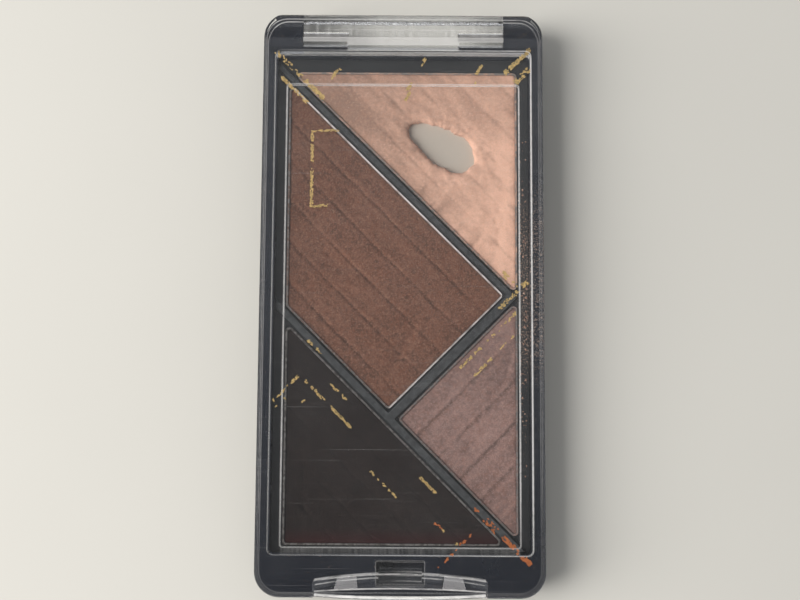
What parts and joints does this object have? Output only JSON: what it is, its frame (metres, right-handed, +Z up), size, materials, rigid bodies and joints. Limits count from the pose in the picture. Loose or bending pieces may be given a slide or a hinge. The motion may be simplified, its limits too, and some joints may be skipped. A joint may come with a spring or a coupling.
{
  "type": "eyeshadow palette",
  "caption": "Slim eyeshadow palette: pressed powders in pans split by diagonal dividers, glossy black base, clear hinged lid with snap hook.",
  "frame": {"origin": "middle of the underside's bounding rectangle, on the plane it rests on", "axes": "+X across the palette to the right, +Y along it to the hinge at the back, +Z up through the closed lid"},
  "size_m": [0.048, 0.0995, 0.0105],
  "materials": {
    "gloss_black": "glossy moulded black, lightly scratched",
    "satin_black": "satin moulded black",
    "clear_plastic": "clear, worn, with flecks of gold print",
    "pin_steel": "drawn wire",
    "label_film": "blank printed film",
    "pan_metal": "stamped sheet, satin",
    "adhesive": "soft hot-melt pad",
    "powder_peach": "pressed powder, satin shimmer",
    "powder_brown": "pressed powder, metallic shimmer",
    "powder_taupe": "pressed powder, metallic shimmer",
    "powder_dark": "pressed powder, soft shimmer"
  },
  "bodies": {
    "base": {"base_shell": "gloss_black", "bottom_label": "label_film", "pan_tray": "satin_black", "adhesive_peach": "adhesive", "pan_peach": "pan_metal", "powder_peach": "powder_peach", "adhesive_brown": "adhesive", "pan_brown": "pan_metal", "powder_brown": "powder_brown", "adhesive_taupe": "adhesive", "pan_taupe": "pan_metal", "powder_taupe": "powder_taupe", "adhesive_dark": "adhesive", "pan_dark": "pan_metal", "powder_dark": "powder_dark", "hinge_pin_left": "pin_steel", "hinge_pin_right": "pin_steel"},
    "lid": {"clear_lid": "clear_plastic"}
  },
  "joints": [
    {"name": "lid_hinge", "type": "hinge", "parent": "base", "child": "lid", "pos_m": [0, 0.04695, 0.0038], "axis": [-1, 0, 0], "range_deg": [0, 120]}
  ]
}
